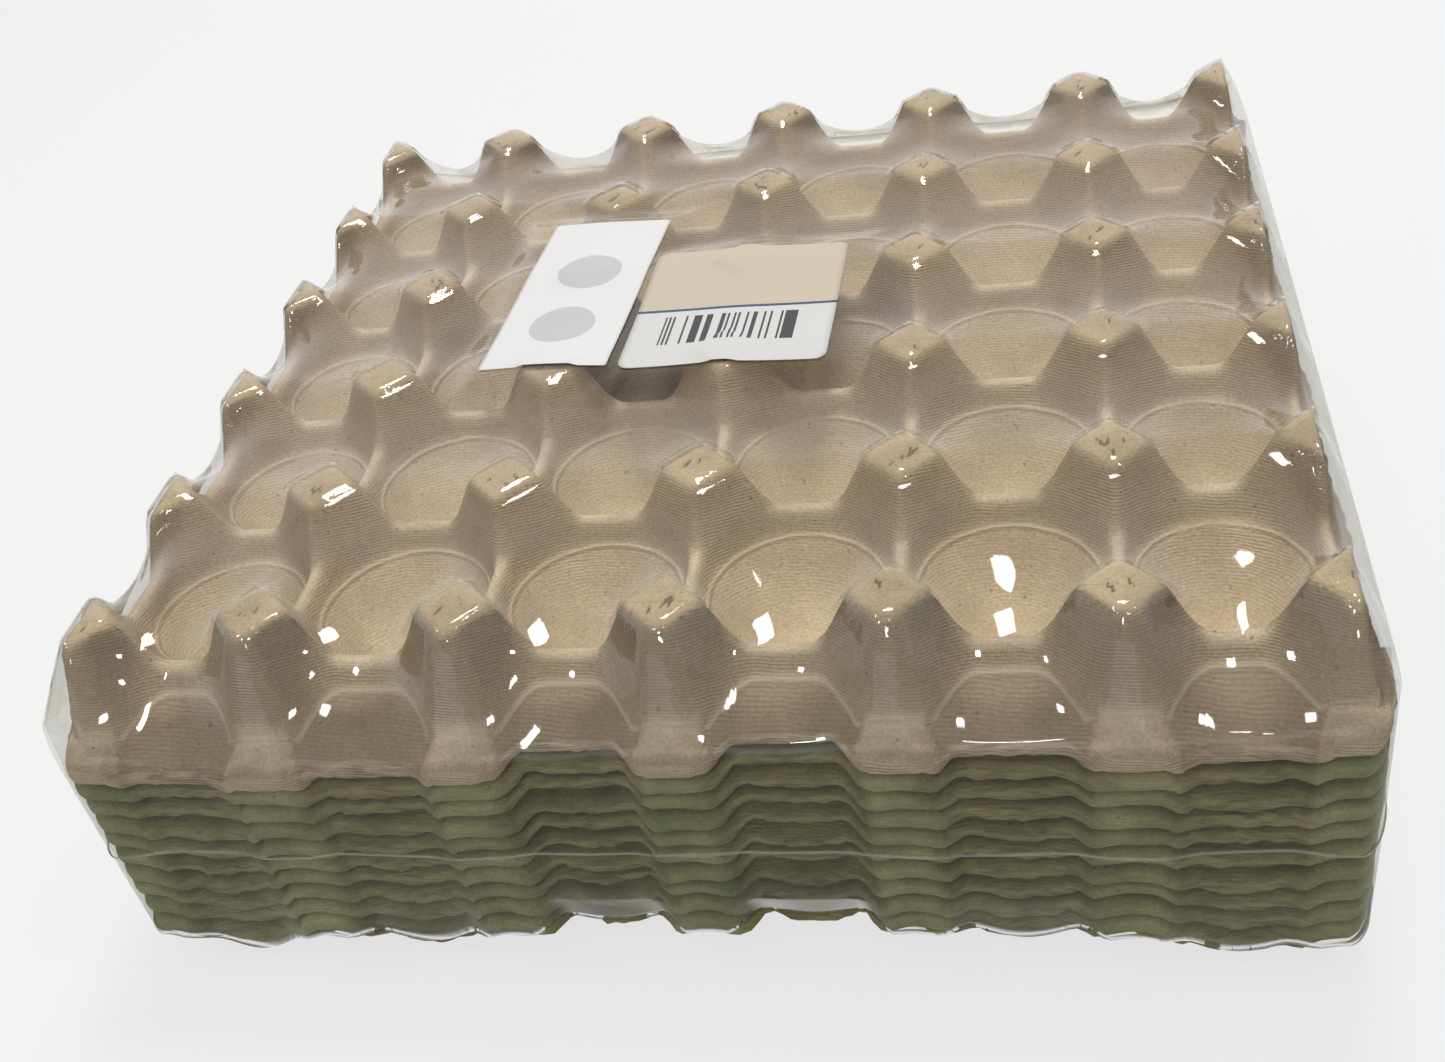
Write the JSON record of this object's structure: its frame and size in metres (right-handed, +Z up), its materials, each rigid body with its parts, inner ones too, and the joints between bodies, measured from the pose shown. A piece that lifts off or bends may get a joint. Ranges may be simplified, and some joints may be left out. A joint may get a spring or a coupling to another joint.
{
  "type": "stack of pulp egg trays",
  "caption": "Square stack of nested moulded pulp egg trays with diamond posts and faceted cups, wrapped in clear shrink film with a plain sticker and a printed label on top.",
  "frame": {"origin": "middle of the flat underside of the film, on the surface that the pack stands on", "axes": "+X to the right across the six cells, +Y from the front to the back across the five cells, +Z up through the stack"},
  "size_m": [0.2956, 0.2952, 0.1006],
  "materials": {
    "pulp": "matt",
    "film": "gloss",
    "sticker_paper": "satin",
    "label_print": "satin"
  },
  "bodies": {
    "root": {"tray_01": "pulp", "tray_02": "pulp", "tray_03": "pulp", "tray_04": "pulp", "tray_05": "pulp", "tray_06": "pulp", "tray_07": "pulp", "tray_08": "pulp", "tray_09": "pulp", "tray_10": "pulp", "shrink_film": "film", "plain_sticker": "sticker_paper", "printed_label": "label_print"}
  },
  "joints": []
}
